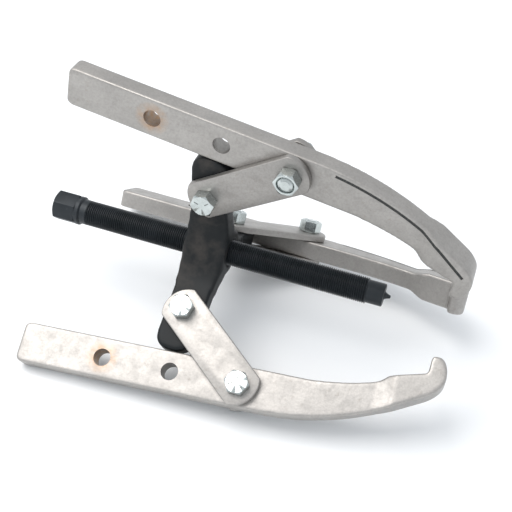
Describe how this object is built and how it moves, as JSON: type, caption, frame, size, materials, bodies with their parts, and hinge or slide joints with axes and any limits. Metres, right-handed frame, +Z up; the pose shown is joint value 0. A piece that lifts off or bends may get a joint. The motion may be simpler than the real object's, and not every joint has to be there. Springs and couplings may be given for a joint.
{
  "type": "gear puller",
  "caption": "Jaw-type gear puller with a forcing screw in a forged yoke, pivoting straps and adjustable hooked jaws, lying flat as set down.",
  "frame": {"origin": "on the surface the tool lies on, under the centre of its bounding box", "axes": "+Z up from that surface, +X along the tool from the hexagonal head of the forcing screw towards the jaw hooks"},
  "size_m": [0.29, 0.1962, 0.1807],
  "materials": {
    "yoke_black": "satin black paint on a forging",
    "screw_black": "black oxide, oiled",
    "point_black": "hardened steel, black oxide",
    "jaw_steel": "matt grey plated forging",
    "strap_steel": "matt grey plated sheet",
    "zinc_hardware": "bright zinc plate"
  },
  "bodies": {
    "yoke": {"yoke": "yoke_black"},
    "centre_point": {"centre_point": "point_black"},
    "forcing_screw": {"forcing_screw": "screw_black"},
    "front_straps": {"front_left_strap": "strap_steel", "front_right_strap": "strap_steel", "front_yoke_bolt": "zinc_hardware", "front_yoke_nut": "zinc_hardware", "front_jaw_bolt": "zinc_hardware", "front_jaw_nut": "zinc_hardware"},
    "front_jaw": {"front_jaw": "jaw_steel"},
    "upper_straps": {"upper_left_strap": "strap_steel", "upper_right_strap": "strap_steel", "upper_yoke_bolt": "zinc_hardware", "upper_yoke_nut": "zinc_hardware", "upper_jaw_bolt": "zinc_hardware", "upper_jaw_nut": "zinc_hardware"},
    "upper_jaw": {"upper_jaw": "jaw_steel"},
    "rear_straps": {"rear_left_strap": "strap_steel", "rear_right_strap": "strap_steel", "rear_yoke_bolt": "zinc_hardware", "rear_yoke_nut": "zinc_hardware", "rear_jaw_bolt": "zinc_hardware", "rear_jaw_nut": "zinc_hardware"},
    "rear_jaw": {"rear_jaw": "jaw_steel"}
  },
  "joints": [
    {"name": "screw_feed", "type": "slide", "parent": "yoke", "child": "centre_point", "axis": [0.9999, 0, 0.0133], "range_m": [-0.09, 0.078]},
    {"name": "screw_turn", "type": "hinge", "parent": "centre_point", "child": "forcing_screw", "pos_m": [-0.0294, 0.00223, 0.06346], "axis": [0.9999, 0, 0.0133], "range_deg": [-22980, 19920]},
    {"name": "front_strap_swing", "type": "hinge", "parent": "yoke", "child": "front_straps", "pos_m": [-0.02908, -0.04005, 0.0387], "axis": [0.0114, 0.5053, -0.8629], "range_deg": [-8, 35]},
    {"name": "front_jaw_pivot", "type": "hinge", "parent": "front_straps", "child": "front_jaw", "pos_m": [0.0222, -0.07193, 0.02071], "axis": [-0.0114, -0.5053, 0.8629], "range_deg": [0, 22]},
    {"name": "upper_strap_swing", "type": "hinge", "parent": "yoke", "child": "upper_straps", "pos_m": [-0.03005, 0.00193, 0.11245], "axis": [0.0001, -1, -0.0061], "range_deg": [-8, 35]},
    {"name": "upper_jaw_pivot", "type": "hinge", "parent": "upper_straps", "child": "upper_jaw", "pos_m": [0.02269, 0.00173, 0.14691], "axis": [-0.0001, 1, 0.0061], "range_deg": [0, 22]},
    {"name": "rear_strap_swing", "type": "hinge", "parent": "yoke", "child": "rear_straps", "pos_m": [-0.02908, 0.04482, 0.03922], "axis": [-0.0115, 0.4947, 0.869], "range_deg": [-8, 35]},
    {"name": "rear_jaw_pivot", "type": "hinge", "parent": "rear_straps", "child": "rear_jaw", "pos_m": [0.01965, 0.07979, 0.01995], "axis": [0.0115, -0.4947, -0.869], "range_deg": [0, 22]}
  ],
  "couplings": [
    {"joint": "screw_turn", "follows": "screw_feed", "rad_per_m": 4452.7}
  ]
}
